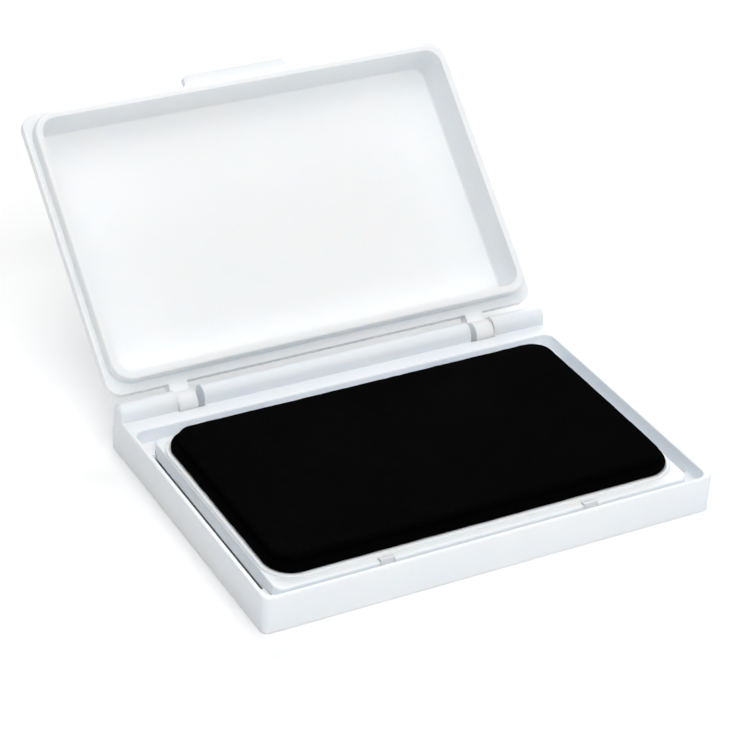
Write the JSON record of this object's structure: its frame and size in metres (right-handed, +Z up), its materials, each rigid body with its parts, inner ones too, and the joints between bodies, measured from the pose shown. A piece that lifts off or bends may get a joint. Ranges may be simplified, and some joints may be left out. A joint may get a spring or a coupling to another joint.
{
  "type": "ink pad",
  "caption": "Shallow hinged case holding a raised cloth-covered stamp pad on its own tray, with a lipped lid and a front thumb tab.",
  "frame": {"origin": "centre of the case's flat underside, midway between its front and back faces at the base", "axes": "+X to the user's right, +Y towards the hinge, +Z up from the table"},
  "size_m": [0.097, 0.1166, 0.053],
  "materials": {
    "case_white": "satin injection-moulded, cool white",
    "tray_white": "satin injection-moulded, cool white",
    "adhesive": "double-sided film",
    "felt_black": "ink-soaked felt",
    "foam_black": "ink-soaked open-cell foam",
    "cloth_black": "fine woven cloth, inked",
    "lid_white": "satin injection-moulded, cool white"
  },
  "bodies": {
    "case": {"base_case": "case_white", "pad_tray": "tray_white", "pad_adhesive": "adhesive", "pad_felt": "felt_black", "pad_foam": "foam_black", "pad_cover": "cloth_black"},
    "lid": {"lid_shell": "lid_white"}
  },
  "joints": [
    {"name": "lid_hinge", "type": "hinge", "parent": "case", "child": "lid", "pos_m": [0, 0.031, 0.0081], "axis": [1, 0, 0], "range_deg": [0, 138.5]}
  ]
}
